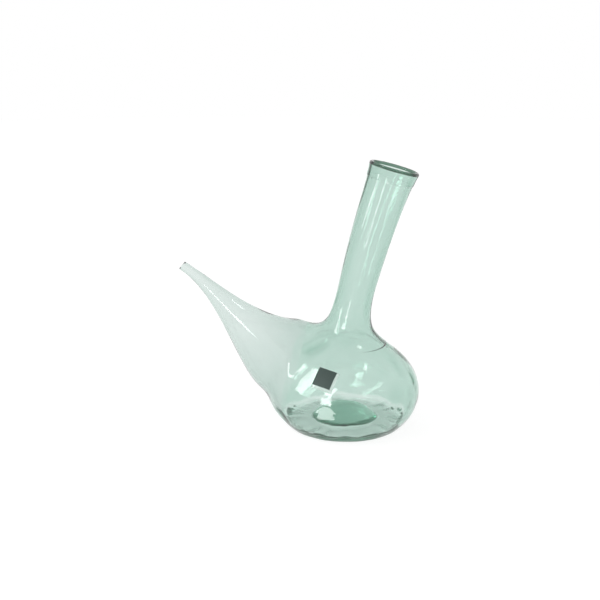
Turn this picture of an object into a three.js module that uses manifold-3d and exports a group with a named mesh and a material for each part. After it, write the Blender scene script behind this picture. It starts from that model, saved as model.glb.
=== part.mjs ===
// Porrón: a hand-blown glass wine pitcher with a flat round body, a leaning neck and a long pouring spout.
// Millimetres, +Z up, the spout points to -X and the neck leans to +X. The object is symmetric about y = 0.
//
// The outside of the glass is one smooth skin, written as a signed distance: a squashed ball, a leaning cone
// and a curved funnel melt into each other and stand on a flat foot. Every piece of glass is a zone of the
// wall between that skin and the hollow inside it. A surface is found by walking outwards from a point in
// the hollow until the distance is nought, so neighbouring pieces always run on into each other.
import * as THREE from 'three';
import * as BufferGeometryUtils from 'three/addons/utils/BufferGeometryUtils.js';
import Module from 'manifold-3d';

const wasm = await Module();
wasm.setup();

// Body: a squashed ball that stands on a cut-off underside.
const bulbRadius = 75.5;
const bulbHalfHeight = 54.7;
const bulbCentreHeight = 37;
const wallThickness = 3.2;

// Base: a thick bottom, pushed up a little in the middle, with a flat foot ring round the push-up. Inside,
// a mound of glass stands over the push-up.
const baseHeight = 10;
const heelRounding = 4;
const floorThickness = 8;
const floorCornerRounding = 2;
const pushUpRadius = 36;
const pushUpHeight = 6;
const moundRadius = 34;
const moundHeight = 14;
const moundEdge = 0.05;

// Neck: a slim cone that leans away from the spout, bows a little and opens at the mouth. Heights on it
// are measured along its axis from where this crosses the body's upright axis.
const neckLean = THREE.MathUtils.degToRad(15.2);
const neckAxisRise = 56.3;
const neckAxisHeight = bulbCentreHeight + neckAxisRise;
const neckLength = 177;
const neckRadius = 16.8;
const neckWidening = 5.9;
const neckBow = 3.4;
const neckBlend = 65;
const neckJointHeight = 24;
const mouthFlare = 3.1;
const mouthFlareLength = 10;

// Lip: a collar of glass wrapped round the mouth, and the round bead on its edge.
const collarHeight = 15;
const collarThickness = 0.6;
const rimBeadHeight = 3;
const rimOverhang = 0.4;

// Spout: a funnel on a gently bent centre line, fused to the side of the body on a leaning plane.
const seamLean = THREE.MathUtils.degToRad(17);
const seamDistance = 0.69 * bulbRadius;
const seamRise = 27;
const seamCentre = new THREE.Vector3(-seamDistance, 0, bulbCentreHeight + seamRise);
const seamSwelling = 1.5;
const seamSwellingWidth = 9;
const spoutRootDistance = 0.662 * bulbRadius;
const spoutRootRise = 31.8;
const spoutRoot = new THREE.Vector3(-spoutRootDistance, 0, bulbCentreHeight + spoutRootRise);
const spoutReach = 112.5;
const spoutRise = 97;
const spoutRootDip = 56;
const spoutTipDip = 16.7;
const spoutTipRadius = 4.6;
const spoutRootFlare = 44.9;
const spoutFlarePower = 1.81;
const spoutRootOverlap = 0.11;
const spoutBlend = 16;
const spoutEndBlend = 60;
const spoutBoreRadius = 2.9;

// Sticker: a square of clear film with a smaller plain dark square on it, on the body near the spout.
const labelDistance = 0.296 * bulbRadius;
const labelRise = 30.7;
const labelPlace = new THREE.Vector3(-labelDistance, 0, bulbCentreHeight + labelRise);
const labelTurn = THREE.MathUtils.degToRad(-12.5);
const labelFaceSize = 18.7;
const labelFilmBorder = 3;
const labelFilmThickness = 0.6;
const labelFaceThickness = 0.5;

// Clearances between neighbouring pieces.
const jointGap = 0.3;
const labelGap = 0.6;

// How finely the round forms are divided: sides round a ring, and rings or steps along each zone.
const bodySides = 48;
const tubeSides = 36;
const heelRings = 5;
const pushUpRings = 8;
const bellyRings = 14;
const shoulderRings = 9;
const neckRings = 9;
const collarRings = 5;
const rimRings = 8;
const spoutRings = 15;
const labelSteps = 6;

const glassLook = { roughness: 0.05, metalness: 0, transparent: true, opacity: 0.55 };

function glassMaterial(color) {
  return new THREE.MeshStandardMaterial({ ...glassLook, color });
}

// Smooth minimum and maximum: two distances melt into each other over the width `blend`.
function smoothMin(a, b, blend) {
  const nearness = Math.max(blend - Math.abs(a - b), 0) / blend;
  return Math.min(a, b) - (nearness ** 3 * blend) / 6;
}

function smoothMax(a, b, blend) {
  return -smoothMin(-a, -b, blend);
}

function leaningAxis(lean) {
  return new THREE.Vector3(Math.sin(lean), 0, Math.cos(lean));
}

// Body of the skin.

function bulbDistance(point) {
  const across = Math.hypot(point.x, point.y);
  const up = point.z - bulbCentreHeight;
  const reach = Math.hypot(across / bulbRadius, up / bulbHalfHeight);
  const slope = Math.hypot(across / bulbRadius ** 2, up / bulbHalfHeight ** 2);
  return (reach * (reach - 1)) / Math.max(slope, 1e-9);
}

const neckAxis = leaningAxis(neckLean);

const neckSideways = leaningAxis(neckLean + Math.PI / 2);

function neckBend(height) {
  const share = THREE.MathUtils.clamp(height / neckLength, 0, 1);
  return -4 * neckBow * share * (1 - share);
}

function neckPoint(height) {
  return new THREE.Vector3(0, 0, neckAxisHeight)
    .addScaledVector(neckAxis, height)
    .addScaledVector(neckSideways, neckBend(height));
}

function neckOuterRadius(height) {
  const flare = mouthFlare * Math.exp((height - neckLength) / mouthFlareLength);
  return neckRadius + (neckWidening * height) / neckLength + flare;
}

function neckDistance(point) {
  const fromFoot = point.clone().setZ(point.z - neckAxisHeight);
  const height = fromFoot.dot(neckAxis);
  const sideways = fromFoot.dot(neckSideways) - neckBend(height);
  const radius = neckOuterRadius(THREE.MathUtils.clamp(height, 0, neckLength));
  return Math.max(Math.hypot(sideways, point.y) - radius, -height);
}

// The spout's centre line runs from its root to its tip, a little below and then above the straight line.

const spoutLength = Math.hypot(spoutReach, spoutRise);
const spoutAxis = new THREE.Vector3(-spoutReach, 0, spoutRise).normalize();
const spoutUpward = new THREE.Vector3(spoutRise, 0, spoutReach).normalize();

function spoutBend(share) {
  const rest = 1 - share;
  return spoutTipDip * share * share * rest - spoutRootDip * share * rest * rest;
}

function spoutPoint(share) {
  return spoutRoot
    .clone()
    .addScaledVector(spoutAxis, share * spoutLength)
    .addScaledVector(spoutUpward, spoutBend(share));
}

function spoutRadius(share) {
  const rest = 1 - share;
  return spoutTipRadius + spoutRootFlare * rest ** spoutFlarePower;
}

function spoutDistance(point) {
  const fromRoot = point.clone().sub(spoutRoot);
  const along = fromRoot.dot(spoutAxis) / spoutLength;
  const share = THREE.MathUtils.clamp(along, -spoutRootOverlap, 1);
  const sideways = fromRoot.dot(spoutUpward) - spoutBend(share);
  const flareSlope = spoutFlarePower * (1 - share) ** (spoutFlarePower - 1);
  const steepness = (spoutRootFlare * flareSlope) / spoutLength;
  const radial = (Math.hypot(sideways, point.y) - spoutRadius(share)) / Math.hypot(1, steepness);
  return smoothMax(radial, (-spoutRootOverlap - along) * spoutLength, spoutEndBlend);
}

// The seam where the spout was fused on is a plane; beyond it the distance from it is positive.

const seamNormal = leaningAxis(seamLean - Math.PI / 2);

function beyondSeam(point) {
  return point.clone().sub(seamCentre).dot(seamNormal);
}

function swellingAtSeam(point) {
  return seamSwelling * Math.exp(-((beyondSeam(point) / seamSwellingWidth - 1) ** 2));
}

function skinDistance(point) {
  const body = smoothMin(bulbDistance(point), neckDistance(point), neckBlend);
  return smoothMin(body, spoutDistance(point), spoutBlend) - swellingAtSeam(point);
}

// Height of the pushed-up underside: a smooth bell that is flat beyond its radius.
function pushUp(point) {
  const share = Math.min(Math.hypot(point.x, point.y) / pushUpRadius, 1);
  return pushUpHeight * (1 - share * share) ** 2;
}

// Height of the mound on the floor inside: a cap that meets the floor in a crisp edge.
function mound(point) {
  const share = (Math.hypot(point.x, point.y) / moundRadius) ** 2;
  return moundHeight * smoothMax(1 - share, 0, moundEdge);
}

// Distance from the whole outside of the glass, with the foot and the push-up under it.
function outsideDistance(point) {
  const underside = pushUp(point) - point.z;
  return smoothMax(skinDistance(point), underside, heelRounding);
}

// Distance from the hollow inside the body and neck.
function hollowDistance(point) {
  const floor = floorThickness + mound(point) - point.z;
  return smoothMax(skinDistance(point) + wallThickness, floor, floorCornerRounding);
}

// Walks from `start`, which lies inside, to where `distance` becomes nought.
function walk(start, direction, distance) {
  const point = start.clone();
  const stepsToSettle = 90;
  for (let step = 0; step < stepsToSettle; step += 1) {
    point.addScaledVector(direction, -distance(point));
  }
  return point;
}

// One ring of points on a surface, seen from `eye`: `opening` is the angle between the ring's cone and its
// axis, so a quarter turn gives a flat ring. Each walk starts at the length `lead` from the eye.
function ring(eye, lean, opening, sides, distance, lead = 0) {
  const axis = leaningAxis(lean);
  const sideways = leaningAxis(lean + Math.PI / 2);
  const points = [];
  for (let index = 0; index < sides; index += 1) {
    const turn = (2 * Math.PI * index) / sides;
    const direction = new THREE.Vector3()
      .addScaledVector(axis, Math.cos(opening))
      .addScaledVector(sideways, Math.sin(opening) * Math.cos(turn))
      .add(new THREE.Vector3(0, Math.sin(opening) * Math.sin(turn), 0));
    points.push(walk(eye.clone().addScaledVector(direction, lead), direction, distance));
  }
  return points;
}

function flatRing(eye, lean, sides, distance) {
  return ring(eye, lean, Math.PI / 2, sides, distance);
}

// Rings with plain radii round the leaning axis of the neck.
function neckRing(height, radius) {
  const eye = neckPoint(height);
  return flatRing(eye, neckLean, tubeSides, (point) => point.distanceTo(eye) - radius);
}

// Joins rings into one closed surface. They run up the outside and back down the inside. With `poles` the
// first and the last ring are closed by a point each, or else the last ring joins the first.
function loft(rings, poles = []) {
  const sides = rings[0].length;
  const positions = [...rings.flat(), ...poles].flatMap((point) => point.toArray());
  const triangles = [];
  const bands = poles.length ? rings.length - 1 : rings.length;
  for (let band = 0; band < bands; band += 1) {
    const lower = band * sides;
    const upper = ((band + 1) % rings.length) * sides;
    for (let side = 0; side < sides; side += 1) {
      const next = (side + 1) % sides;
      triangles.push(lower + side, lower + next, upper + next);
      triangles.push(lower + side, upper + next, upper + side);
    }
  }
  if (poles.length) {
    const first = rings.length * sides;
    const last = (rings.length - 1) * sides;
    for (let side = 0; side < sides; side += 1) {
      const next = (side + 1) % sides;
      triangles.push(first, next, side);
      triangles.push(first + 1, last + side, last + next);
    }
  }
  const geometry = new THREE.BufferGeometry();
  geometry.setAttribute('position', new THREE.Float32BufferAttribute(positions, 3));
  geometry.setIndex(triangles);
  return geometry;
}

function steps(count, value) {
  return Array.from({ length: count + 1 }, (unused, index) => value(index / count));
}

function toSolid(geometry) {
  const bare = geometry.clone();
  bare.deleteAttribute('normal');
  bare.deleteAttribute('uv');
  const merged = BufferGeometryUtils.mergeVertices(bare);
  const vertProperties = new Float32Array(merged.attributes.position.array);
  const triVerts = new Uint32Array(merged.index.array);
  return new wasm.Manifold(new wasm.Mesh({ numProp: 3, vertProperties, triVerts }));
}

function toGeometry(solid) {
  const { vertProperties, triVerts } = solid.getMesh();
  const geometry = new THREE.BufferGeometry();
  geometry.setAttribute('position', new THREE.Float32BufferAttribute(vertProperties, 3));
  geometry.setIndex(Array.from(triVerts));
  return geometry;
}

function toMesh(name, geometry, material) {
  geometry.computeVertexNormals();
  const mesh = new THREE.Mesh(geometry, material);
  mesh.name = name;
  return mesh;
}

// Rings of the body are seen from its middle as cones, and turn into the neck's flat rings higher up. Beyond
// the seam the body is made longer by the allowance and then cut off.
const bodyEyeRise = 8;
const bodyEye = new THREE.Vector3(0, 0, bulbCentreHeight + bodyEyeRise);
const shoulderOpening = THREE.MathUtils.degToRad(44);
const seamAllowance = 20;

// The level ring where the base and the body meet; its walks start outside the push-up.
function baseJointRing(height, distance) {
  return ring(new THREE.Vector3(0, 0, height), 0, Math.PI / 2, bodySides, distance, pushUpRadius);
}

// Opening of the cone from the body's eye that goes through a level ring.
function openingTo(levelRing) {
  return Math.atan2(levelRing[0].x, levelRing[0].z - bodyEye.z);
}

// Values between `from` and `to`, both left out.
function between(from, to, count) {
  const share = (index) => (index + 1) / (count + 1);
  return Array.from({ length: count }, (unused, index) => THREE.MathUtils.lerp(from, to, share(index)));
}

function makeBase() {
  const footInnerEdge = Math.atan2(pushUpRadius, -bodyEye.z);
  const wall = (distance) => {
    const joint = baseJointRing(baseHeight, distance);
    const openings = [
      ...between(openingTo(joint), footInnerEdge, heelRings),
      footInnerEdge,
      ...between(footInnerEdge, Math.PI, pushUpRings),
    ];
    return [joint, ...openings.map((opening) => ring(bodyEye, 0, opening, bodySides, distance))];
  };
  const rings = [...wall(outsideDistance).reverse(), ...wall(hollowDistance)];
  const down = new THREE.Vector3(0, 0, -1);
  const poles = [walk(bodyEye, down, outsideDistance), walk(bodyEye, down, hollowDistance)];
  return toMesh('base', loft(rings, poles), glassMaterial(0xa9c9bd));
}

// Half of the space beyond the seam, which is cut away from the body.
function beyondSeamBlock() {
  const size = 4 * bulbRadius;
  const block = new THREE.BoxGeometry(size, size, size);
  block.translate(0, 0, size / 2 - jointGap / 2);
  block.rotateY(seamLean - Math.PI / 2);
  block.translate(seamCentre.x, seamCentre.y, seamCentre.z);
  return toSolid(block);
}

function makeBulb() {
  const neckJoint = neckPoint(neckJointHeight);
  const wall = (distance, allowance) => {
    const capped = (point) => Math.max(distance(point), beyondSeam(point) - allowance);
    const joint = baseJointRing(baseHeight + jointGap, capped);
    const openings = between(openingTo(joint), shoulderOpening, bellyRings);
    return [
      joint,
      ...openings.map((opening) => ring(bodyEye, 0, opening, bodySides, capped)),
      ...steps(shoulderRings, (share) => {
        const eye = bodyEye.clone().lerp(neckJoint, share);
        const opening = THREE.MathUtils.lerp(shoulderOpening, Math.PI / 2, share);
        return ring(eye, neckLean * share, opening, bodySides, capped);
      }),
    ];
  };
  const outside = wall(outsideDistance, seamAllowance);
  const inside = wall(hollowDistance, seamAllowance - wallThickness).reverse();
  const whole = toSolid(loft([...outside, ...inside]));
  const cut = whole.subtract(beyondSeamBlock());
  return toMesh('bulb', toGeometry(cut), glassMaterial(0xb9d5ca));
}

// The neck's rings lie closer together near the body, where it opens fastest.
function makeNeck() {
  const bottom = neckJointHeight + jointGap;
  const top = neckLength - collarHeight - jointGap;
  const crowding = 1.6;
  const height = (share) => THREE.MathUtils.lerp(bottom, top, share ** crowding);
  const ringAt = (share, distance) => flatRing(neckPoint(height(share)), neckLean, tubeSides, distance);
  const wall = (distance) => steps(neckRings, (share) => ringAt(share, distance));
  const rings = [...wall(skinDistance), ...wall(hollowDistance).reverse()];
  return toMesh('neck', loft(rings), glassMaterial(0xbfdcd0));
}

function makeLipCollar() {
  const bottom = neckLength - collarHeight;
  const top = neckLength - rimBeadHeight - jointGap;
  const outside = steps(collarRings, (share) => {
    const height = THREE.MathUtils.lerp(bottom, top, share);
    return neckRing(height, neckOuterRadius(height) + collarThickness * (1 - share));
  });
  const inside = steps(collarRings, (share) => {
    const height = THREE.MathUtils.lerp(top, bottom, share);
    return neckRing(height, neckOuterRadius(height) - wallThickness);
  });
  return toMesh('lip_collar', loft([...outside, ...inside]), glassMaterial(0xc4ddd2));
}

// The rim is a fire-rounded bead whose section is half a circle on the top of a short straight wall.
function makeRim() {
  const bottom = neckLength - rimBeadHeight;
  const middleRadius = neckOuterRadius(bottom) - wallThickness / 2;
  const halfWidth = wallThickness / 2 + rimOverhang;
  const rings = steps(rimRings, (share) => {
    const turn = Math.PI * share;
    const height = bottom + rimBeadHeight * Math.sin(turn);
    return neckRing(height, middleRadius + halfWidth * Math.cos(turn));
  });
  return toMesh('rim', loft(rings), glassMaterial(0x6b786f));
}

// Distance from the hollow inside the spout, where the wall thins evenly to a small bore at the tip.
function boreDistance(point) {
  const along = point.clone().sub(spoutRoot).dot(spoutAxis) / spoutLength;
  const tipWall = spoutTipRadius - spoutBoreRadius;
  const wall = THREE.MathUtils.lerp(wallThickness, tipWall, THREE.MathUtils.clamp(along, 0, 1));
  return Math.max(hollowDistance(point), skinDistance(point) + wall);
}

// The spout's rings start flat on the seam, and by half its length they are square to its axis.
function makeSpout() {
  const start = seamCentre.clone().addScaledVector(seamNormal, jointGap / 2);
  const startShift = start.clone().sub(spoutPoint(0));
  const shiftPower = 6;
  const eye = (share) => spoutPoint(share).addScaledVector(startShift, (1 - share) ** shiftPower);
  const tipLean = Math.atan2(spoutAxis.x, spoutAxis.z);
  const turned = (share) => THREE.MathUtils.smoothstep(share, 0, 0.5);
  const lean = (share) => THREE.MathUtils.lerp(seamLean - Math.PI / 2, tipLean, turned(share));
  const ringAt = (share, distance) => flatRing(eye(share), lean(share), tubeSides, distance);
  const wall = (distance) => steps(spoutRings, (share) => ringAt(share, distance));
  const rings = [...wall(outsideDistance), ...wall(boreDistance).reverse()];
  return toMesh('spout', loft(rings), glassMaterial(0xdbe5e1));
}

// A thin square plate bent onto the body: `gap` is its distance from the glass.
function makeLabelPlate(size, shift, gap, thickness) {
  const middle = walk(labelPlace, new THREE.Vector3(0, -1, 0), outsideDistance);
  const nudge = 0.01;
  const slope = ['x', 'y', 'z'].map((axis) => {
    const nudged = middle.clone();
    nudged[axis] += nudge;
    return outsideDistance(nudged) - outsideDistance(middle);
  });
  const outward = new THREE.Vector3(...slope).normalize();
  const levelRight = new THREE.Vector3(0, 0, 1).cross(outward).normalize();
  const right = levelRight.clone().applyAxisAngle(outward, labelTurn);
  const up = outward.clone().cross(right);
  const geometry = new THREE.BoxGeometry(size, size, thickness, labelSteps, labelSteps, 1);
  const startDepth = bulbHalfHeight / 4;
  const corners = geometry.attributes.position;
  for (let index = 0; index < corners.count; index += 1) {
    const height = gap + thickness / 2 + corners.getZ(index);
    const start = middle
      .clone()
      .addScaledVector(right, corners.getX(index) + shift)
      .addScaledVector(up, corners.getY(index) - shift)
      .addScaledVector(outward, -startDepth);
    const point = walk(start, outward, (place) => outsideDistance(place) - height);
    corners.setXYZ(index, point.x, point.y, point.z);
  }
  return geometry;
}

function makeLabelFilm() {
  const size = labelFaceSize + labelFilmBorder;
  const geometry = makeLabelPlate(size, labelFilmBorder / 2, labelGap, labelFilmThickness);
  const look = { color: 0xd9e4df, roughness: 0.2, metalness: 0, transparent: true, opacity: 0.5 };
  return toMesh('label_film', geometry, new THREE.MeshStandardMaterial(look));
}

function makeLabelFace() {
  const gap = labelGap + labelFilmThickness + jointGap;
  const geometry = makeLabelPlate(labelFaceSize, 0, gap, labelFaceThickness);
  const look = { color: 0x4a4d4c, roughness: 0.5, metalness: 0 };
  return toMesh('label_face', geometry, new THREE.MeshStandardMaterial(look));
}

const porron = new THREE.Group();
porron.add(makeBase());
porron.add(makeBulb());
porron.add(makeNeck());
porron.add(makeLipCollar());
porron.add(makeRim());
porron.add(makeSpout());
porron.add(makeLabelFilm());
porron.add(makeLabelFace());

// The origin is under the middle of the whole object, on the surface that it stands on.
const bounds = new THREE.Box3().setFromObject(porron, true);
porron.position.x = -(bounds.min.x + bounds.max.x) / 2;

export default porron;
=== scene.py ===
import bmesh
import bpy
import numpy as np
from mathutils import Matrix, Vector


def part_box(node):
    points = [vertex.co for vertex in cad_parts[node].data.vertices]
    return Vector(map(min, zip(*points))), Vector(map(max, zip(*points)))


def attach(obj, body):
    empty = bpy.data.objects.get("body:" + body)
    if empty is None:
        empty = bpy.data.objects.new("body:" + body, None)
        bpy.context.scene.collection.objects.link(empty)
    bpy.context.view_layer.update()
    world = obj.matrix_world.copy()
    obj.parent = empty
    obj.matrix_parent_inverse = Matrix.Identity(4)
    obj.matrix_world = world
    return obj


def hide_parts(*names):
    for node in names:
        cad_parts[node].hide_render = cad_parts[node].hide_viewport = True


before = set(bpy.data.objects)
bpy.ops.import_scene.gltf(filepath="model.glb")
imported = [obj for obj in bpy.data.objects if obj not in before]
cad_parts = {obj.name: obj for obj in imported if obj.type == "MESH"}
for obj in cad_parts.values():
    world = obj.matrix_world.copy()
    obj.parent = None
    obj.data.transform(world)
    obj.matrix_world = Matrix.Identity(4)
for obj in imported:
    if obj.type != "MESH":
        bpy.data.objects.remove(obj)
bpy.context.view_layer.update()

MM = 0.001

# Body and base. The floor's steepness is what a walk towards the sloping floor allows for.
BULB_RADIUS = 75.5
BULB_HALF_HEIGHT = 54.7
BULB_CENTRE_HEIGHT = 37.0
WALL = 3.2
BASE_HEIGHT = 10.0
HEEL_ROUNDING = 4.0
FLOOR_THICKNESS = 8.0
FLOOR_CORNER_ROUNDING = 2.0
FLOOR_WAVES = 0.5
FLOOR_WAVES_BETWEEN = (34, 56)
FLOOR_STEEPNESS = 1.9
PUSH_UP_RADIUS = 36.0
PUSH_UP_HEIGHT = 6.0
MOUND_RADIUS = 34.0
MOUND_HEIGHT = 14.0
MOUND_EDGE = 0.05

# Neck and lip.
NECK_LEAN = np.radians(15.2)
NECK_AXIS_HEIGHT = BULB_CENTRE_HEIGHT + 56.3
NECK_LENGTH = 177.0
NECK_RADIUS = 16.8
NECK_WIDENING = 5.9
NECK_BOW = 3.4
NECK_BLEND = 65.0
NECK_JOINT_HEIGHT = 24.0
MOUTH_FLARE = 3.1
MOUTH_FLARE_LENGTH = 10.0
COLLAR_HEIGHT = 15.0
COLLAR_THICKNESS = 0.6
COLLAR_STEP_HEIGHT = 1.5
RIM_BEAD_HEIGHT = 3.0
RIM_OVERHANG = 0.4

# Spout and its seam.
SEAM_LEAN = np.radians(17)
SEAM_CENTRE = np.array([-0.69 * BULB_RADIUS, 0, BULB_CENTRE_HEIGHT + 27])
SEAM_SWELLING = 1.5
SEAM_SWELLING_WIDTH = 9.0
SEAM_GROOVE = 0.02
SEAM_GROOVE_WIDTH = 0.8
SEAM_FOLD_PLACE = np.array([-35.5, -34.0, 88.5])
SEAM_FOLD_END = np.array([-23.5, -28.0, 93.5])
SEAM_FOLD_HEIGHT = 4.6
SEAM_FOLD_WIDTH = 5.0
SEAM_FOLD_FADING = 0.5
SPOUT_ROOT = np.array([-0.662 * BULB_RADIUS, 0, BULB_CENTRE_HEIGHT + 31.8])
SPOUT_REACH = 112.5
SPOUT_RISE = 97.0
SPOUT_ROOT_DIP = 56.0
SPOUT_TIP_DIP = 16.7
SPOUT_TIP_RADIUS = 4.6
SPOUT_ROOT_FLARE = 44.9
SPOUT_FLARE_POWER = 1.81
SPOUT_ROOT_OVERLAP = 0.11
SPOUT_BLEND = 16.0
SPOUT_END_BLEND = 60.0
SPOUT_BORE_RADIUS = 2.9
SPOUT_MIDDLE_WALL = 2.05

# Where the spout's wall gets thinner: in shares of its length, and in millimetres beyond the seam.
SPOUT_THINS_BETWEEN = (-0.05, 0.45)
SPOUT_THINS_BEYOND_SEAM = (0, 20)
TIP_THINS_BETWEEN = (0.75, 1)

# Sticker.
LABEL_PLACE = np.array([-0.296 * BULB_RADIUS, 0, BULB_CENTRE_HEIGHT + 30.7])
LABEL_TURN = np.radians(-12.5)
LABEL_FACE_SIZE = 18.7
LABEL_FILM_BORDER = 3.0
LABEL_FILM_THICKNESS = 0.12
LABEL_FACE_THICKNESS = 0.08
LABEL_GAP = 0.04

# How far inside the glass the walks to the sticker's points start.
LABEL_START_DEPTH = BULB_HALF_HEIGHT / 4

# Unevenness of hand-blown glass outside and inside: height of the body's swells, and of the streaks along
# neck and spout; then how wide each is, and where the streaks take over from the swells.
OUTER_SWELLS = (0.08, 0.06, 0.01)
INNER_SWELLS = (0.1, 0.1, 0.02)
BODY_SWELL_LENGTH = 26
NECK_STREAK_WIDTH = 11
SPOUT_STREAK_WIDTH = 12
FLOOR_WAVE_LENGTH = 17
NECK_STREAKS_BETWEEN = (5, 40)
SPOUT_STREAKS_BETWEEN = (0, 30)
OUTER_SEED = 11
INNER_SEED = 21
FLOOR_SEED = 31

# Bubbles in the glass, by the piece they are in.
AIR_SEED_RADIUS = 0.45
AIR_SEEDS = {
    "spout_glass": [(-76.1, -32.4, 53.8)],
    "bulb_glass": [(62.7, -38.4, 44.4)],
    "lip_collar_glass": [(23.5, -10.6, 254.4)],
}

# Fused joints are invisible, so their faces only need to stay apart.
JOINT_GAP = 0.02

# How finely the forms are divided: sides round a ring, rings along each zone, and steps across the sticker.
BODY_SIDES = 224
TUBE_SIDES = 144
HEEL_RINGS = 40
PUSH_UP_RINGS = 40
BELLY_RINGS = 60
SHOULDER_RINGS = 30
NECK_RINGS = 90
COLLAR_RINGS = 40
RIM_RINGS = 28
SPOUT_RINGS = 120
TIP_RINGS = 14
LABEL_STEPS = 30

# Face attribute that is 1 on real walls and 0 on joint faces.
WALL_ATTRIBUTE = "wall"

# The body's upright axis in the frame, in metres.
BULB_AXIS_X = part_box("bulb")[1][0] - BULB_RADIUS * MM
AXIS_SHIFT = np.array([BULB_AXIS_X, 0, 0])


# Shapes as signed distances; each function takes an array of points.


def smooth_min(a, b, blend):
    nearness = np.maximum(blend - np.abs(a - b), 0) / blend
    return np.minimum(a, b) - nearness**3 * blend / 6


def smooth_max(a, b, blend):
    return -smooth_min(-a, -b, blend)


def smooth_step(value, low, high):
    share = np.clip((value - low) / (high - low), 0, 1)
    return share * share * (3 - 2 * share)


def leaning_axis(lean):
    return np.array([np.sin(lean), 0, np.cos(lean)])


NECK_AXIS = leaning_axis(NECK_LEAN)
NECK_SIDEWAYS = leaning_axis(NECK_LEAN + np.pi / 2)
NECK_FOOT = np.array([0, 0, NECK_AXIS_HEIGHT])
SPOUT_LENGTH = np.hypot(SPOUT_REACH, SPOUT_RISE)
SPOUT_AXIS = np.array([-SPOUT_REACH, 0, SPOUT_RISE]) / SPOUT_LENGTH
SPOUT_UPWARD = np.array([SPOUT_RISE, 0, SPOUT_REACH]) / SPOUT_LENGTH
SEAM_NORMAL = leaning_axis(SEAM_LEAN - np.pi / 2)


def bulb_distance(points):
    across = np.hypot(points[:, 0], points[:, 1])
    up = points[:, 2] - BULB_CENTRE_HEIGHT
    reach = np.hypot(across / BULB_RADIUS, up / BULB_HALF_HEIGHT)
    slope = np.hypot(across / BULB_RADIUS**2, up / BULB_HALF_HEIGHT**2)
    return reach * (reach - 1) / np.maximum(slope, 1e-9)


def neck_bend(height):
    share = np.clip(height / NECK_LENGTH, 0, 1)
    return -4 * NECK_BOW * share * (1 - share)


def neck_point(height):
    return NECK_FOOT + NECK_AXIS * height + NECK_SIDEWAYS * neck_bend(height)


def neck_outer_radius(height):
    flare = MOUTH_FLARE * np.exp((height - NECK_LENGTH) / MOUTH_FLARE_LENGTH)
    return NECK_RADIUS + NECK_WIDENING * height / NECK_LENGTH + flare


def neck_height(points):
    return (points - NECK_FOOT) @ NECK_AXIS


def neck_distance(points):
    height = neck_height(points)
    sideways = (points - NECK_FOOT) @ NECK_SIDEWAYS - neck_bend(height)
    radius = neck_outer_radius(np.clip(height, 0, NECK_LENGTH))
    return np.maximum(np.hypot(sideways, points[:, 1]) - radius, -height)


def spout_bend(share):
    rest = 1 - share
    return SPOUT_TIP_DIP * share * share * rest - SPOUT_ROOT_DIP * share * rest * rest


def spout_point(share):
    return SPOUT_ROOT + SPOUT_AXIS * share * SPOUT_LENGTH + SPOUT_UPWARD * spout_bend(share)


def spout_share(points):
    return (points - SPOUT_ROOT) @ SPOUT_AXIS / SPOUT_LENGTH


def spout_distance(points):
    along = spout_share(points)
    share = np.clip(along, -SPOUT_ROOT_OVERLAP, 1)
    sideways = (points - SPOUT_ROOT) @ SPOUT_UPWARD - spout_bend(share)
    radius = SPOUT_TIP_RADIUS + SPOUT_ROOT_FLARE * (1 - share) ** SPOUT_FLARE_POWER
    flare_slope = SPOUT_FLARE_POWER * (1 - share) ** (SPOUT_FLARE_POWER - 1)
    steepness = SPOUT_ROOT_FLARE * flare_slope / SPOUT_LENGTH
    radial = (np.hypot(sideways, points[:, 1]) - radius) / np.hypot(1, steepness)
    return smooth_max(radial, (-SPOUT_ROOT_OVERLAP - along) * SPOUT_LENGTH, SPOUT_END_BLEND)


def beyond_seam(points):
    return (points - SEAM_CENTRE) @ SEAM_NORMAL


def skin_distance(points):
    body = smooth_min(bulb_distance(points), neck_distance(points), NECK_BLEND)
    swelling = SEAM_SWELLING * np.exp(-((beyond_seam(points) / SEAM_SWELLING_WIDTH - 1) ** 2))
    return smooth_min(body, spout_distance(points), SPOUT_BLEND) - swelling


def push_up(across):
    """Height of the pushed-up underside at a distance from the middle."""
    share = np.minimum(across / PUSH_UP_RADIUS, 1)
    return PUSH_UP_HEIGHT * (1 - share * share) ** 2


def mound(across):
    """Height of the thick mound of glass over the push-up, which ends in a crisp edge."""
    share = (across / MOUND_RADIUS) ** 2
    return MOUND_HEIGHT * smooth_max(1 - share, 0 * share, MOUND_EDGE)


def floor_distance(points):
    """Distance below the hollow's floor, which carries the mound and is wavy near the wall."""
    across = np.hypot(points[:, 0], points[:, 1])
    around = np.arctan2(points[:, 1], points[:, 0])
    circle = np.stack([np.cos(around), np.sin(around), 0 * around], axis=1) * BULB_RADIUS
    near_wall = smooth_step(across, *FLOOR_WAVES_BETWEEN)
    waves = FLOOR_WAVES * ripple(circle, FLOOR_SEED, FLOOR_WAVE_LENGTH) * near_wall
    height = FLOOR_THICKNESS + waves + mound(across)
    return (height - points[:, 2]) / FLOOR_STEEPNESS


def ripple(points, seed, wavelength, along=None):
    """A smooth random swell with a spread of about one; along an axis its waves are drawn out to streaks."""
    waves_in_sum = 9
    drawing_out = 0.93
    shortest, longest = 0.7, 1.5
    random = np.random.default_rng(seed)
    waves = random.normal(size=(waves_in_sum, 3))
    if along is not None:
        waves -= drawing_out * np.outer(waves @ along, along)
    waves /= np.linalg.norm(waves, axis=1)[:, None]
    waves *= 2 * np.pi / (wavelength * random.uniform(shortest, longest, waves_in_sum))[:, None]
    phases = random.uniform(0, 2 * np.pi, waves_in_sum)
    return np.cos(points @ waves.T + phases).sum(axis=1) * np.sqrt(2 / waves_in_sum)


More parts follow.
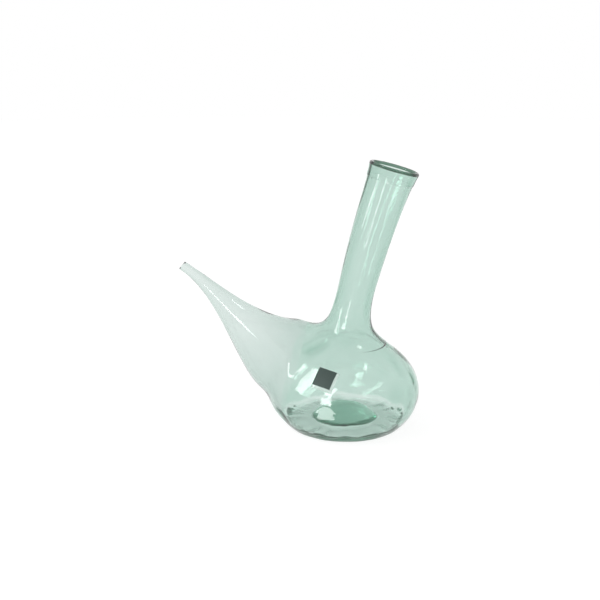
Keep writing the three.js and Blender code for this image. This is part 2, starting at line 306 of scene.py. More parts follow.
def unevenness(points, seed, swells):
    """How far hand-blown glass is off its ideal skin."""
    body_swell, neck_streaks, spout_streaks = swells
    in_neck = smooth_step(neck_height(points), *NECK_STREAKS_BETWEEN)
    in_spout = smooth_step(beyond_seam(points), *SPOUT_STREAKS_BETWEEN)
    in_body = (1 - in_neck) * (1 - in_spout)
    swell = body_swell * ripple(points, seed, BODY_SWELL_LENGTH) * in_body
    along_neck = neck_streaks * ripple(points, seed + 1, NECK_STREAK_WIDTH, NECK_AXIS) * in_neck
    along_spout = spout_streaks * ripple(points, seed + 2, SPOUT_STREAK_WIDTH, SPOUT_AXIS) * in_spout
    return swell + along_neck + along_spout


def outside_distance(points):
    groove = SEAM_GROOVE * np.exp(-((beyond_seam(points) / SEAM_GROOVE_WIDTH) ** 2))
    skin = skin_distance(points) + groove + unevenness(points, OUTER_SEED, OUTER_SWELLS)
    underside = push_up(np.hypot(points[:, 0], points[:, 1])) - points[:, 2]
    return smooth_max(skin, underside, HEEL_ROUNDING)


def wall_thickness(points):
    """The spout was drawn out, so its wall gets thinner towards the tip."""
    share = spout_share(points)
    past_seam = smooth_step(beyond_seam(points), *SPOUT_THINS_BEYOND_SEAM)
    drawn = smooth_step(share, *SPOUT_THINS_BETWEEN) * past_seam
    middle = WALL + (SPOUT_MIDDLE_WALL - WALL) * drawn
    tip_wall = SPOUT_TIP_RADIUS - SPOUT_BORE_RADIUS
    return middle + (tip_wall - SPOUT_MIDDLE_WALL) * smooth_step(share, *TIP_THINS_BETWEEN)


def seam_fold(points):
    """A short thick fold of glass inside the near wall, beside the seam."""
    line = SEAM_FOLD_END - SEAM_FOLD_PLACE
    share = np.clip((points - SEAM_FOLD_PLACE) @ line / (line @ line), 0, 1)
    away = np.linalg.norm(points - SEAM_FOLD_PLACE - share[:, None] * line, axis=1)
    height = SEAM_FOLD_HEIGHT * (1 - SEAM_FOLD_FADING * share)
    return height * np.exp(-((away / SEAM_FOLD_WIDTH) ** 2))


# Small steps along x, y and z, for slopes.
NUDGE = 0.02
NUDGES = np.eye(3) * NUDGE


def hollow_distance(points):
    """Distance from the hollow; the skin's distance is put right where two shapes melt into each other."""
    skin = skin_distance(points)
    steepness = np.linalg.norm(np.stack([skin_distance(points + nudge) - skin for nudge in NUDGES]), axis=0)
    wall = wall_thickness(points) + seam_fold(points)
    skin = skin * NUDGE / steepness + wall + unevenness(points, INNER_SEED, INNER_SWELLS)
    return smooth_max(skin, floor_distance(points), FLOOR_CORNER_ROUNDING)


# Finding the surfaces.

# Steps that a walk takes from an eye, from the outside through the wall, and from right beside the surface.
STEPS_FROM_AFAR = 90
STEPS_THROUGH_WALL = 30
STEPS_TO_SETTLE = 6


def walk(starts, directions, distance, steps=STEPS_FROM_AFAR):
    """Points where the distance becomes nought, along directions from starts inside the surface."""
    points = starts.copy()
    for _ in range(steps):
        points -= directions * distance(points)[:, None]
    return points


def slope(points, distance):
    parts = [distance(points + nudge) - distance(points - nudge) for nudge in NUDGES]
    gradient = np.stack(parts, axis=1)
    return gradient / np.linalg.norm(gradient, axis=1)[:, None]


def cone(eye, lean, opening, sides, lead=0.0):
    """Starts and directions of one ring that is seen from the eye as a cone round a leaning axis."""
    turn = 2 * np.pi * np.arange(sides) / sides
    sideways = np.outer(np.cos(turn), leaning_axis(lean + np.pi / 2)) + np.outer(np.sin(turn), [0, 1, 0])
    directions = np.cos(opening) * leaning_axis(lean) + np.sin(opening) * sideways
    return eye + directions * lead, directions


def solve(cones, distance, beside=None):
    """All rings of a surface at once, as an array of rings of points. A surface inside one that is solved
    already is found from there, in fewer steps."""
    starts = np.concatenate([start for start, _ in cones])
    directions = np.concatenate([direction for _, direction in cones])
    if beside is None:
        return walk(starts, directions, distance).reshape(len(cones), -1, 3)
    starts = beside.reshape(-1, 3) - directions * WALL
    return walk(starts, directions, distance, STEPS_THROUGH_WALL).reshape(len(cones), -1, 3)


def add_air_seeds(mesh):
    """Adds the small bubbles in a piece of glass, as closed spheres that face inwards, and gives their
    normals."""
    places = [Vector(place) * MM + Vector(AXIS_SHIFT) for place in AIR_SEEDS.get(mesh.name, [])]
    if not places:
        return np.empty((0, 3))
    shell = bmesh.new()
    shell.from_mesh(mesh)
    wall = shell.faces.layers.float[WALL_ATTRIBUTE]
    glass_points = len(shell.verts)
    for place in places:
        placed = Matrix.Translation(place)
        radius = AIR_SEED_RADIUS * MM
        seed = bmesh.ops.create_icosphere(shell, subdivisions=2, radius=radius, matrix=placed)
        for face in {face for vert in seed["verts"] for face in vert.link_faces}:
            face.normal_flip()
            face.smooth = True
            face[wall] = 1.0
    inward = []
    for vert in list(shell.verts)[glass_points:]:
        middle = min(places, key=lambda place: (place - vert.co).length)
        inward.append((middle - vert.co).normalized())
    shell.to_mesh(mesh)
    shell.free()
    return np.array(inward)


def set_normals(mesh, normals):
    normals = np.concatenate([normals, add_air_seeds(mesh)])
    mesh.normals_split_custom_set_from_vertices(normals.tolist())


def to_object(name, points, faces, material, walls=None, normals=None):
    vertices = points * MM + AXIS_SHIFT
    mesh = bpy.data.meshes.new(name)
    mesh.from_pydata(vertices.tolist(), [], faces)
    mesh.materials.append(material)
    if walls is not None:
        mesh.attributes.new(WALL_ATTRIBUTE, "FLOAT", "FACE").data.foreach_set("value", walls)
    mesh.polygons.foreach_set("use_smooth", [True] * len(mesh.polygons))
    mesh.update()
    if normals is not None:
        set_normals(mesh, normals)
    thing = bpy.data.objects.new(name, mesh)
    bpy.context.scene.collection.objects.link(thing)
    return thing


def loft(rings, joints, poles=None):
    """Faces that join rings to a closed surface, and for each face 1 for a wall or 0 for a joint.

    The rings run up the outside and back down the inside. Poles close the first and last ring; otherwise the
    last ring joins the first. Joints are the numbers of the bands that are joint faces."""
    count, sides, _ = rings.shape
    points = rings.reshape(-1, 3)
    faces = []
    walls = []
    bands = count - 1 if poles is not None else count
    for band in range(bands):
        lower = band * sides
        upper = (band + 1) % count * sides
        for side in range(sides):
            following = (side + 1) % sides
            faces.append((lower + side, lower + following, upper + following, upper + side))
            walls.append(0.0 if band in joints else 1.0)
    if poles is not None:
        first = count * sides
        last = (count - 1) * sides
        for side in range(sides):
            following = (side + 1) % sides
            faces.append((first, following, side))
            faces.append((first + 1, last + side, last + following))
            walls.extend([1.0, 1.0])
        points = np.concatenate([points, poles])
    return points, faces, walls


def wall_normals(outer, inner, outside, poles=None):
    """Exact shading normals of a wall's outer and inner points, so that nothing shows where pieces meet."""
    outer = outer.reshape(-1, 3)
    inner = inner.reshape(-1, 3)
    normals = [slope(outer, outside), -slope(inner, hollow_distance)]
    if poles is not None:
        normals += [slope(poles[:1], outside), -slope(poles[1:], hollow_distance)]
    return np.concatenate(normals)


# Materials. Glass colours are what is absorbed of red, green and blue per millimetre.

GREEN = (0.105, 0.060, 0.077)
PALE = (0.088, 0.060, 0.070)
# The rim's glass absorbs about six times more than the rest. Its green hue is the glass's own; the extra
# darkness is painted shade on the rim bead.
RIM_GREEN_WITH_PAINTED_SHADE = (0.58, 0.42, 0.5)

# Share of the other green glass's absorption that the thick bottom keeps. Its green is the glass's own;
# taking out the rest of the absorption is painted light, which makes the bottom lighter than its thickness
# would.
BASE_ABSORPTION_SHARE_FOR_PAINTED_LIGHT = 0.26

# The foot is matt up to the first height and clear from the second.
FOOT_ROUGHNESS = 0.5
FOOT_MATT_HEIGHT = 0.3
FOOT_CLEAR_HEIGHT = 1.2


def new_material(name):
    material = bpy.data.materials.new(name)
    material.use_nodes = True
    return material, material.node_tree.nodes, material.node_tree.links


def glass_material(name, absorbed, swell=0.35):
    """Clear glass whose colour comes from what it absorbs per millimetre, with a faintly uneven surface.
    Joint faces inside fused glass don't show."""
    material, nodes, links = new_material(name)
    shader = nodes["Principled BSDF"]
    shader.inputs["Base Color"].default_value = (1, 1, 1, 1)
    shader.inputs["Roughness"].default_value = 0.0
    shader.inputs["IOR"].default_value = 1.5
    shader.inputs["Transmission Weight"].default_value = 1.0
    place = nodes.new("ShaderNodeTexCoord")
    noise = nodes.new("ShaderNodeTexNoise")
    noise.inputs["Scale"].default_value = 95
    noise.inputs["Detail"].default_value = 1.5
    bump = nodes.new("ShaderNodeBump")
    bump.inputs["Strength"].default_value = swell
    bump.inputs["Distance"].default_value = 0.0004
    links.new(place.outputs["Object"], noise.inputs["Vector"])
    links.new(noise.outputs["Fac"], bump.inputs["Height"])
    links.new(bump.outputs["Normal"], shader.inputs["Normal"])
    wall = nodes.new("ShaderNodeAttribute")
    wall.attribute_name = WALL_ATTRIBUTE
    links.new(wall.outputs["Fac"], shader.inputs["Alpha"])
    absorb_light(material, absorbed)
    return material


def absorb_light(material, absorbed):
    """The density is a little more than the most absorbed colour needs, and the colour makes up for it."""
    spare_density = 1.25
    nodes = material.node_tree.nodes
    volume = nodes.new("ShaderNodeVolumeAbsorption")
    density = spare_density * max(absorbed) / MM
    colour = [1 - per_millimetre / MM / density for per_millimetre in absorbed]
    volume.inputs["Color"].default_value = (*colour, 1)
    volume.inputs["Density"].default_value = density
    material.node_tree.links.new(volume.outputs["Volume"], nodes["Material Output"].inputs["Volume"])


def wear_foot(material):
    """The underside is rubbed matt where it stands on the table."""
    nodes = material.node_tree.nodes
    links = material.node_tree.links
    place = nodes["Texture Coordinate"]
    parts = nodes.new("ShaderNodeSeparateXYZ")
    wear = nodes.new("ShaderNodeMapRange")
    wear.interpolation_type = "SMOOTHSTEP"
    wear.inputs["From Min"].default_value = FOOT_MATT_HEIGHT * MM
    wear.inputs["From Max"].default_value = FOOT_CLEAR_HEIGHT * MM
    wear.inputs["To Min"].default_value = FOOT_ROUGHNESS
    wear.inputs["To Max"].default_value = 0.0
    links.new(place.outputs["Object"], parts.inputs["Vector"])
    links.new(parts.outputs["Z"], wear.inputs["Value"])
    links.new(wear.outputs["Result"], nodes["Principled BSDF"].inputs["Roughness"])


green_glass = glass_material("green_glass", GREEN)
# The base's glass is a lighter copy of the green glass: painted light in the thick bottom.
base_glass = glass_material("base_glass", [BASE_ABSORPTION_SHARE_FOR_PAINTED_LIGHT * absorbed for absorbed in GREEN])
wear_foot(base_glass)
pale_glass = glass_material("pale_glass", PALE, swell=0.05)
# The rim's glass is a darker copy of the green glass: painted shade on the rim bead.
rim_glass = glass_material("rim_glass", RIM_GREEN_WITH_PAINTED_SHADE)


def finish_piece(thing, node):
    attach(thing, "root")
    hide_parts(node)


# Glass pieces.

# The body's rings are seen as cones from an eye inside it. Above the shoulder the eye moves up to the neck.
EYE_ABOVE_CENTRE = 8
BODY_EYE = np.array([0, 0, BULB_CENTRE_HEIGHT + EYE_ABOVE_CENTRE])
SHOULDER_OPENING = np.radians(44)

# The body's wall is made this far past the seam before it is cut off there.
SEAM_ALLOWANCE = 20.0

# Rows of points beside the seam, where the groove bends the surface: in millimetres before it on the body,
# and in shares of the spout's length beyond it.
BODY_GROOVE_ROWS = (0.35, 0.7, 1.1, 1.6, 2.3)
SPOUT_GROOVE_ROWS = (0, 0.0025, 0.005, 0.0085, 0.013)
AFTER_GROOVE = 0.02

# Points nearer to each other than the first are merged; nearer to a joint's plane than the second, they are
# in the joint.
MERGED_WITHIN = 0.03
JOINT_WITHIN = 0.005

# How much closer the rings of neck and collar are at the bottom; 1 is evenly spaced.
NECK_CROWDING = 1.3
COLLAR_CROWDING = 1.5

# The bead of the rim has its full width from this share of its height.
RIM_WIDENS_WITHIN = 0.6

# Along the spout its rings turn from the seam's lean to the tip's, and leave the seam's middle line.
SPOUT_TURNS_WITHIN = 0.5
SPOUT_SHIFT_POWER = 6


def level_ring(height, distance, beside=None):
    """The level ring where base and body meet; its walks start outside the push-up."""
    start = cone(np.array([0, 0, height]), 0, np.pi / 2, BODY_SIDES, PUSH_UP_RADIUS)
    return solve([start], distance, beside)


def opening_to(ring):
    """Opening of the cone from the body's eye that goes through a level ring."""
    return np.arctan2(ring[0, 0, 0], ring[0, 0, 2] - BODY_EYE[2])


def between(low, high, count):
    return np.linspace(low, high, count + 2)[1:-1]


def make_base():
    foot_edge = np.arctan2(PUSH_UP_RADIUS, -BODY_EYE[2])
    down = np.array([[0, 0, -1.0]])

    def wall(distance, beside=None):
        joint = level_ring(BASE_HEIGHT, distance, beside)
        openings = [
            *between(opening_to(joint), foot_edge, HEEL_RINGS),
            foot_edge,
            *between(foot_edge, np.pi, PUSH_UP_RINGS),
        ]
        cones = [cone(BODY_EYE, 0, opening, BODY_SIDES) for opening in openings]
        return np.concatenate([joint, solve(cones, distance)])

    outer = wall(outside_distance)[::-1]
    inner = wall(hollow_distance, outer[-1])
    sides = (outside_distance, hollow_distance)
    poles = np.concatenate([walk(BODY_EYE[None], down, side) for side in sides])
    rings = np.concatenate([outer, inner])
    points, faces, walls = loft(rings, {len(outer) - 1}, poles)
    normals = wall_normals(outer, inner, outside_distance, poles)
    return to_object("base_glass", points, faces, base_glass, walls, normals)


def make_bulb():
    neck_joint = neck_point(NECK_JOINT_HEIGHT)

    def wall(distance, allowance, beside=None):
        def capped(points):
            return np.maximum(distance(points), beyond_seam(points) - allowance)

        joint = level_ring(BASE_HEIGHT + JOINT_GAP, capped, None if beside is None else beside[0])
        openings = between(opening_to(joint), SHOULDER_OPENING, BELLY_RINGS)
        cones = [cone(BODY_EYE, 0, opening, BODY_SIDES) for opening in openings]
        for share in np.linspace(0, 1, SHOULDER_RINGS):
            eye = BODY_EYE + (neck_joint - BODY_EYE) * share
            opening = SHOULDER_OPENING + (np.pi / 2 - SHOULDER_OPENING) * share
            cones.append(cone(eye, NECK_LEAN * share, opening, BODY_SIDES))
        return np.concatenate([joint, solve(cones, capped, None if beside is None else beside[1:])])

    outer = wall(outside_distance, SEAM_ALLOWANCE)
    inner = wall(hollow_distance, SEAM_ALLOWANCE - WALL, outer)[::-1]
    points, faces, walls = loft(np.concatenate([outer, inner]), {len(outer) - 1, 2 * len(outer) - 1})
    thing = to_object("bulb_glass", points, faces, green_glass, walls)
    cut_at_seam(thing)
    return thing


def slice_shell(shell, before, cutting_off=False):
    """Divides a shell by a plane that lies a little before the seam, and can cut off what is beyond it."""
    bmesh.ops.bisect_plane(
        shell,
        geom=shell.verts[:] + shell.edges[:] + shell.faces[:],
        dist=1e-6,
        plane_co=(SEAM_CENTRE - SEAM_NORMAL * before) * MM + AXIS_SHIFT,
        plane_no=SEAM_NORMAL,
        clear_outer=cutting_off,
    )


def cut_at_seam(thing):
    """Cuts the body off at the seam, closes the cut with joint faces and adds points along the groove."""
    shell = bmesh.new()
    shell.from_mesh(thing.data)
    slice_shell(shell, JOINT_GAP / 2, cutting_off=True)
    open_edges = [edge for edge in shell.edges if edge.is_boundary]
    closing = bmesh.ops.bridge_loops(shell, edges=open_edges)
    wall = shell.faces.layers.float[WALL_ATTRIBUTE]
    for face in closing["faces"]:
        face[wall] = 0.0
    for before in BODY_GROOVE_ROWS:
        slice_shell(shell, before)
    bmesh.ops.remove_doubles(shell, verts=shell.verts, dist=MERGED_WITHIN * MM)
    bmesh.ops.recalc_face_normals(shell, faces=shell.faces)
    normals = settle_on_surfaces(shell)
    for face in shell.faces:
        face.smooth = True
    shell.to_mesh(thing.data)
    shell.free()
    set_normals(thing.data, normals)


def settle_on_surfaces(shell):
    """Moves every point of the cut body onto the exact surface, and those in the joints only along these.
    Gives back the exact normals there."""
    verts = list(shell.verts)
    local = (np.array([vert.co for vert in verts]) - AXIS_SHIFT) / MM
    outer = np.abs(outside_distance(local)) < np.abs(hollow_distance(local))
    joint_normals = [SEAM_NORMAL, np.array([0, 0, 1.0]), NECK_AXIS]
    in_joint = [
        np.abs(beyond_seam(local) + JOINT_GAP / 2) < JOINT_WITHIN,
        np.abs(local[:, 2] - BASE_HEIGHT - JOINT_GAP) < JOINT_WITHIN,
        np.abs(neck_height(local) - NECK_JOINT_HEIGHT) < JOINT_WITHIN,
    ]
    for _ in range(STEPS_TO_SETTLE):
        for chosen, distance in ((outer, outside_distance), (~outer, hollow_distance)):
            here = local[chosen]
            step = slope(here, distance) * distance(here)[:, None]
            for normal, mask in zip(joint_normals, in_joint):
                flat = mask[chosen]
                step[flat] -= np.outer(step[flat] @ normal, normal)
            local[chosen] = here - step
    for vert, place in zip(verts, local * MM + AXIS_SHIFT):
        vert.co = place
    return np.where(outer[:, None], slope(local, outside_distance), -slope(local, hollow_distance))


def make_tube(name, bottom, top, count, crowding, outside):
    """A length of the neck between two heights along it."""
    heights = bottom + (top - bottom) * np.linspace(0, 1, count) ** crowding
    cones = [cone(neck_point(height), NECK_LEAN, np.pi / 2, TUBE_SIDES) for height in heights]
    outer = solve(cones, outside)
    inner = solve(cones, hollow_distance, outer)[::-1]
    points, faces, walls = loft(np.concatenate([outer, inner]), {count - 1, 2 * count - 1})
    normals = wall_normals(outer, inner, outside)
    return to_object(name, points, faces, green_glass, walls, normals)


def make_neck():
    bottom = NECK_JOINT_HEIGHT + JOINT_GAP
    top = NECK_LENGTH - COLLAR_HEIGHT - JOINT_GAP
    return make_tube("neck_glass", bottom, top, NECK_RINGS, NECK_CROWDING, outside_distance)


def collar_distance(points):
    """Outside of the lip collar: a thin wrap on the neck that starts with a soft step and fades upwards."""
    above = neck_height(points) - NECK_LENGTH + COLLAR_HEIGHT
    fading = 1 - above / (COLLAR_HEIGHT - RIM_BEAD_HEIGHT)
    wrap = smooth_step(above, 0, COLLAR_STEP_HEIGHT) * fading
    return outside_distance(points) - COLLAR_THICKNESS * np.maximum(wrap, 0)


def make_lip_collar():
    bottom = NECK_LENGTH - COLLAR_HEIGHT
    top = NECK_LENGTH - RIM_BEAD_HEIGHT - JOINT_GAP
    return make_tube("lip_collar_glass", bottom, top, COLLAR_RINGS, COLLAR_CROWDING, collar_distance)


def make_rim():
    """The fire-rounded bead on the collar's upper edge, a little wider than the wall."""
    height = NECK_LENGTH - RIM_BEAD_HEIGHT
    edge = [cone(neck_point(height), NECK_LEAN, np.pi / 2, TUBE_SIDES)]
    outer = solve(edge, outside_distance)[0]
    inner = solve(edge, hollow_distance, outer)[0]
    middle = (outer + inner) / 2
    half = (outer - inner) / 2
    overhang = RIM_OVERHANG / (WALL / 2)
    turn = np.linspace(0, np.pi, RIM_RINGS)
    widths = np.cos(turn) * (1 + overhang * smooth_step(np.sin(turn), 0, RIM_WIDENS_WITHIN))
    rises = RIM_BEAD_HEIGHT * np.sin(turn)
    rings = np.stack([middle + half * width + NECK_AXIS * rise for width, rise in zip(widths, rises)])
    points, faces, walls = loft(rings, {len(turn) - 1})
    return to_object("rim_glass", points, faces, rim_glass, walls)


def make_spout():
    start = SEAM_CENTRE + SEAM_NORMAL * JOINT_GAP / 2
    start_shift = start - spout_point(0)
    tip_lean = np.arctan2(SPOUT_AXIS[0], SPOUT_AXIS[2])
    shares = np.concatenate([SPOUT_GROOVE_ROWS, np.linspace(AFTER_GROOVE, 1, SPOUT_RINGS)])
    cones = []
    for share in shares:
        eye = spout_point(share) + start_shift * (1 - share) ** SPOUT_SHIFT_POWER
        lean = SEAM_LEAN - np.pi / 2
        lean += (tip_lean - lean) * smooth_step(share, 0, SPOUT_TURNS_WITHIN)
        cones.append(cone(eye, lean, np.pi / 2, TUBE_SIDES))
    outer = solve(cones, outside_distance)
    inner = solve(cones, hollow_distance, outer)
    tip, tip_normals = rounded_tip(outer[-1], inner[-1])
    rings = np.concatenate([outer, tip, inner[::-1]])
    points, faces, walls = loft(rings, {len(rings) - 1})
    wall = wall_normals(outer, inner[::-1], outside_distance)
    normals = np.concatenate([wall[: outer.size // 3], tip_normals, wall[outer.size // 3 :]])
    return to_object("spout_glass", points, faces, pale_glass, walls, normals)


def rounded_tip(outer, inner):
    """Rings of the fire-rounded edge between the last outer and inner ring, and their normals."""
    middle = (outer + inner) / 2
    half = (outer - inner) / 2
    width = np.linalg.norm(half[0])
    turn = np.linspace(0, np.pi, TIP_RINGS)[1:-1]
    rings = [middle + half * np.cos(angle) + SPOUT_AXIS * width * np.sin(angle) for angle in turn]
    normals = [half / width * np.cos(angle) + SPOUT_AXIS * np.sin(angle) for angle in turn]
    return np.stack(rings), np.concatenate(normals)


def label_axes():
    """The sticker's middle on the glass, and its directions outwards, to the right and up."""
    middle = walk(LABEL_PLACE[None], np.array([[0, -1.0, 0]]), outside_distance)
    outward = slope(middle, skin_distance)[0]
    level_right = np.cross([0, 0, 1], outward)
    level_right /= np.linalg.norm(level_right)
    level_up = np.cross(outward, level_right)
    right = level_right * np.cos(LABEL_TURN) + level_up * np.sin(LABEL_TURN)
    return middle, outward, right, np.cross(outward, right)


def plate_faces():
    """Faces of a square plate made of two layers of points, and the numbers of a layer's border points."""
    row = LABEL_STEPS + 1
    per_layer = row * row
    faces = []
    for line in range(LABEL_STEPS):
        for column in range(LABEL_STEPS):
            corner = line * row + column
            faces.append((corner, corner + row, corner + row + 1, corner + 1))
            outer = (corner, corner + 1, corner + row + 1, corner + row)
            faces.append(tuple(per_layer + index for index in outer))
    border = [*range(row), *range(2 * row - 1, per_layer, row)]
    border += [*range(per_layer - 2, per_layer - row - 1, -1), *range(per_layer - 2 * row, 0, -row)]
    for here, there in zip(border, border[1:] + border[:1]):
        faces.append((here, there, per_layer + there, per_layer + here))
    return faces, border


def label_plate(name, size, shift, gap, thickness, material):
    """A thin square plate bent onto the body and shifted to the right and down."""
    middle, outward, right, up = label_axes()
    grid = np.linspace(-size / 2, size / 2, LABEL_STEPS + 1)
    across, along = np.meshgrid(grid + shift, grid - shift)
    flat = middle + np.outer(across.ravel(), right) + np.outer(along.ravel(), up)
    starts = flat - outward * LABEL_START_DEPTH
    directions = np.tile(outward, (len(starts), 1))
    layers = [
        walk(starts, directions, lambda points, level=level: outside_distance(points) - level)
        for level in (gap, gap + thickness)
    ]
    faces, border = plate_faces()
    thing = to_object(name, np.concatenate(layers), faces, material)
    for edge in thing.data.edges:
        first, second = edge.vertices
        edge.use_edge_sharp = first % len(flat) in border and second % len(flat) in border
    return thing


def film_material():
    """Clear plastic with a faint grain."""
    material, nodes, links = new_material("label_film")
    shader = nodes["Principled BSDF"]
    shader.inputs["Base Color"].default_value = (0.95, 0.97, 0.96, 1)
    shader.inputs["IOR"].default_value = 1.45
    shader.inputs["Transmission Weight"].default_value = 0.85
    shader.inputs["Roughness"].default_value = 0.05
    noise = nodes.new("ShaderNodeTexNoise")
    noise.inputs["Scale"].default_value = 900
    bump = nodes.new("ShaderNodeBump")
    bump.inputs["Strength"].default_value = 0.2
    bump.inputs["Distance"].default_value = 0.00005
    links.new(noise.outputs["Fac"], bump.inputs["Height"])
    links.new(bump.outputs["Normal"], shader.inputs["Normal"])
    return material


def print_material():
    """Plain dark grey print on the sticker, a little uneven in tone and gloss."""
    material, nodes, links = new_material("label_face")
    shader = nodes["Principled BSDF"]
    place = nodes.new("ShaderNodeTexCoord")
    noise = nodes.new("ShaderNodeTexNoise")
    noise.inputs["Scale"].default_value = 420
    noise.inputs["Detail"].default_value = 4
    tones = nodes.new("ShaderNodeMix")
    tones.data_type = "RGBA"
    tones.inputs["A"].default_value = (0.026, 0.049, 0.042, 1)
    tones.inputs["B"].default_value = (0.035, 0.060, 0.052, 1)
    gloss = nodes.new("ShaderNodeMapRange")
    gloss.inputs["To Min"].default_value = 0.42
    gloss.inputs["To Max"].default_value = 0.58
    links.new(place.outputs["Object"], noise.inputs["Vector"])
    links.new(noise.outputs["Fac"], tones.inputs["Factor"])
    links.new(noise.outputs["Fac"], gloss.inputs["Value"])
    links.new(tones.outputs["Result"], shader.inputs["Base Color"])
    links.new(gloss.outputs["Result"], shader.inputs["Roughness"])
    return material


def make_label_film():
    size = LABEL_FACE_SIZE + LABEL_FILM_BORDER
    shift = LABEL_FILM_BORDER / 2
    return label_plate("sticker_film", size, shift, LABEL_GAP, LABEL_FILM_THICKNESS, film_material())


def make_label_face():
    gap = 2 * LABEL_GAP + LABEL_FILM_THICKNESS
    return label_plate("sticker_face", LABEL_FACE_SIZE, 0, gap, LABEL_FACE_THICKNESS, print_material())


finish_piece(make_base(), "base")
finish_piece(make_bulb(), "bulb")
finish_piece(make_neck(), "neck")
finish_piece(make_lip_collar(), "lip_collar")
finish_piece(make_rim(), "rim")
finish_piece(make_spout(), "spout")
finish_piece(make_label_film(), "label_film")
finish_piece(make_label_face(), "label_face")


# Camera, floor, world and lamps. Lengths are in metres here, directions in degrees.

CAMERA_PLACE = Vector((BULB_AXIS_X - 0.0459, -1.015, 0.390))
CAMERA_AIM_HEIGHT = 0.1304
FOCAL_PIXELS = 1045
PICTURE_PIXELS = 600
SENSOR_WIDTH = 36

# The floor lies a little under the foot. For a white table it glows where it is seen, mirrored or through
# glass as well, and the rest of it is white paint.
FLOOR_RADIUS = 4
FLOOR_HEIGHT = -0.0003
FLOOR_GLOW = 1.19
FLOOR_GLOW_SHARE = 0.75

# Light of the room on everything dull, brightness of its ceiling as glass shows it, and the upward parts of
# a direction between which that ceiling begins.
DULL_LIGHT = 0.55
CEILING = 0.75
CEILING_BETWEEN = (0.62, 0.95)

# The softboxes stand round this point of the body.
LAMP_AIM = Vector((BULB_AXIS_X, 0, 0.09))
LAMP_DISTANCE = 1.5

# Cards for the window's glare on the table: start, length and width of each, from a place before the body.
GLARE_CARDS = [(0.037, 0.05, 0.036), (0.087, 0.4, 0.065)]
GLARE_RADIANCE = 8
GLARE_TURN = 30
GLARE_START = Vector((BULB_AXIS_X - 0.022, -0.068, 0.002))


def make_camera():
    """The photograph's view: 1.05 m away and 14 degrees above the horizon."""
    target = Vector((CAMERA_PLACE.x, 0, CAMERA_AIM_HEIGHT))
    camera = bpy.data.objects.new("camera", bpy.data.cameras.new("camera"))
    camera.data.sensor_width = SENSOR_WIDTH
    camera.data.lens = SENSOR_WIDTH * FOCAL_PIXELS / PICTURE_PIXELS
    camera.location = CAMERA_PLACE
    camera.rotation_euler = (target - CAMERA_PLACE).to_track_quat("-Z", "Y").to_euler()
    bpy.context.scene.collection.objects.link(camera)
    bpy.context.scene.camera = camera


def shows_background(nodes, links):
    """1 for rays that should find a white background: from the camera, mirrored or through glass."""
    path = nodes.new("ShaderNodeLightPath")
    total = path.outputs["Is Camera Ray"]
    for kind in ("Is Glossy Ray", "Is Transmission Ray"):
        step = nodes.new("ShaderNodeMath")
        step.operation = "MAXIMUM"
        links.new(total, step.inputs[0])
        links.new(path.outputs[kind], step.inputs[1])
        total = step.outputs["Value"]
    return path, total


def make_floor():
    bpy.ops.mesh.primitive_circle_add(
        vertices=96, radius=FLOOR_RADIUS, fill_type="NGON", location=(0, 0, FLOOR_HEIGHT)
    )
    floor = bpy.context.object
    floor.name = "floor"
    material, nodes, links = new_material("floor")
    paint = nodes["Principled BSDF"]
    paint.inputs["Base Color"].default_value = (0.85, 0.85, 0.85, 1)
    paint.inputs["Roughness"].default_value = 0.9
    glow = nodes.new("ShaderNodeEmission")
    glow.inputs["Strength"].default_value = FLOOR_GLOW
    blend = nodes.new("ShaderNodeMixShader")
    share = nodes.new("ShaderNodeMath")
    share.operation = "MULTIPLY"
    share.inputs[1].default_value = FLOOR_GLOW_SHARE
    _, seen = shows_background(nodes, links)
    links.new(seen, share.inputs[0])
    links.new(share.outputs["Value"], blend.inputs["Fac"])
    links.new(paint.outputs["BSDF"], blend.inputs[1])
    links.new(glow.outputs["Emission"], blend.inputs[2])
    links.new(blend.outputs["Shader"], nodes["Material Output"].inputs["Surface"])
    material.cycles.emission_sampling = "NONE"
    floor.data.materials.append(material)


def room_in_glass(nodes, links):
    """Brightness of the room as glass shows it: white walls and a darker ceiling."""
    place = nodes.new("ShaderNodeTexCoord")
    parts = nodes.new("ShaderNodeSeparateXYZ")
    ceiling = nodes.new("ShaderNodeMapRange")
    ceiling.interpolation_type = "SMOOTHSTEP"
    ceiling.inputs["From Min"].default_value = CEILING_BETWEEN[0]
    ceiling.inputs["From Max"].default_value = CEILING_BETWEEN[1]
    ceiling.inputs["To Min"].default_value = 1.0
    ceiling.inputs["To Max"].default_value = CEILING
    links.new(place.outputs["Generated"], parts.inputs["Vector"])
    links.new(parts.outputs["Z"], ceiling.inputs["Value"])
    return ceiling.outputs["Result"]


def make_world():
    """White behind everything, in glass the room, and plain grey light for everything dull."""
    world = bpy.data.worlds.new("studio")
    bpy.context.scene.world = world
    world.use_nodes = True
    world.cycles.sampling_method = "NONE"
    nodes = world.node_tree.nodes
    links = world.node_tree.links
    room = room_in_glass(nodes, links)
    path, seen = shows_background(nodes, links)
    for_glass = nodes.new("ShaderNodeMix")
    for_glass.data_type = "FLOAT"
    for_glass.inputs["B"].default_value = 1.0
    links.new(path.outputs["Is Camera Ray"], for_glass.inputs["Factor"])
    links.new(room, for_glass.inputs["A"])
    strength = nodes.new("ShaderNodeMix")
    strength.data_type = "FLOAT"
    strength.inputs["A"].default_value = DULL_LIGHT
    links.new(seen, strength.inputs["Factor"])
    links.new(for_glass.outputs["Result"], strength.inputs["B"])
    background = nodes["Background"]
    background.inputs["Color"].default_value = (1, 1, 1, 1)
    links.new(strength.outputs["Result"], background.inputs["Strength"])


def direction_to(azimuth, elevation):
    """Azimuth 0 is the camera's side, positive to the right."""
    turn, rise = np.radians(azimuth), np.radians(elevation)
    return Vector((np.sin(turn) * np.cos(rise), -np.cos(turn) * np.cos(rise), np.sin(rise)))


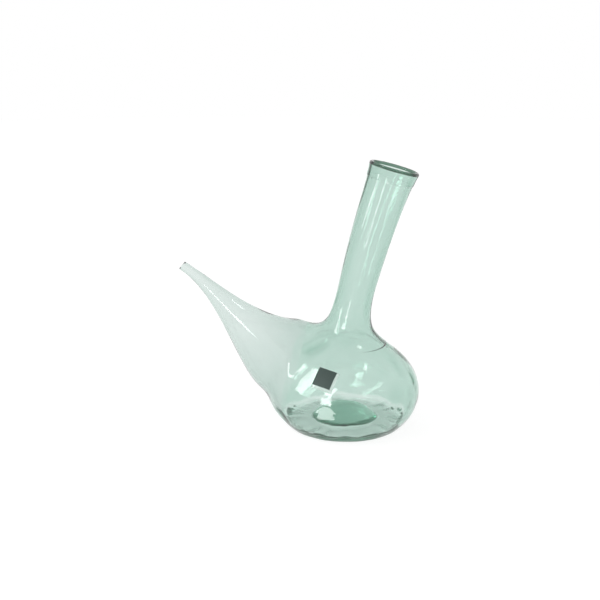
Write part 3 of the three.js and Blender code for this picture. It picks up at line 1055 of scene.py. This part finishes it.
def area_light(name, width, length, radiance):
    """A rectangle of light that the camera doesn't see itself."""
    lamp = bpy.data.objects.new(name, bpy.data.lights.new(name, "AREA"))
    lamp.data.shape = "RECTANGLE"
    lamp.data.size = width
    lamp.data.size_y = length
    lamp.data.energy = radiance * np.pi * width * length
    lamp.visible_camera = False
    bpy.context.scene.collection.objects.link(lamp)
    return lamp


def make_lamp(name, low_end, high_end, width, radiance, only=None):
    """A softbox whose long middle line runs between two directions from the body. It can be screened so that
    it lights only one piece."""
    low = LAMP_AIM + direction_to(*low_end) * LAMP_DISTANCE
    high = LAMP_AIM + direction_to(*high_end) * LAMP_DISTANCE
    away = ((low + high) / 2 - LAMP_AIM).normalized()
    along = (high - low).normalized()
    across = along.cross(away)
    turned = Matrix((across, along, away)).transposed().to_4x4()
    lamp = area_light(name, width, (high - low).length, radiance)
    lamp.matrix_world = Matrix.Translation((low + high) / 2) @ turned
    if only is not None:
        lit = bpy.data.collections.new(name + "_lights")
        lit.objects.link(bpy.data.objects[only])
        lamp.light_linking.receiver_collection = lit


def make_table_glare(start, length, width):
    """The window's glare on the table in front of the body: a low card that only mirrors show."""
    away = start + length / 2
    turn = np.radians(GLARE_TURN)
    lamp = area_light("table_glare", width, length, GLARE_RADIANCE)
    lamp.location = GLARE_START + Vector((-np.sin(turn), -np.cos(turn), 0)) * away
    lamp.rotation_euler = (np.pi, 0, -turn)
    lamp.visible_transmission = False


make_camera()
make_floor()
make_world()
make_lamp("strip_softbox", (-26, -3), (-23, 22), width=0.13, radiance=7)
make_lamp("window_softbox", (-28, 24), (-24, 41), width=0.34, radiance=7, only="bulb_glass")
make_lamp("low_softbox", (-31, -2), (-30, 15), width=0.34, radiance=7, only="bulb_glass")
make_lamp("side_softbox", (-70, 8), (-55, 57), width=0.2, radiance=7)
make_lamp("top_softbox", (70, 63), (90, 63), width=0.1, radiance=5)
for card in GLARE_CARDS:
    make_table_glare(*card)

scene = bpy.context.scene
scene.view_settings.view_transform = "Standard"
scene.cycles.max_bounces = 24
scene.cycles.transmission_bounces = 24
scene.cycles.glossy_bounces = 12
scene.cycles.transparent_max_bounces = 48
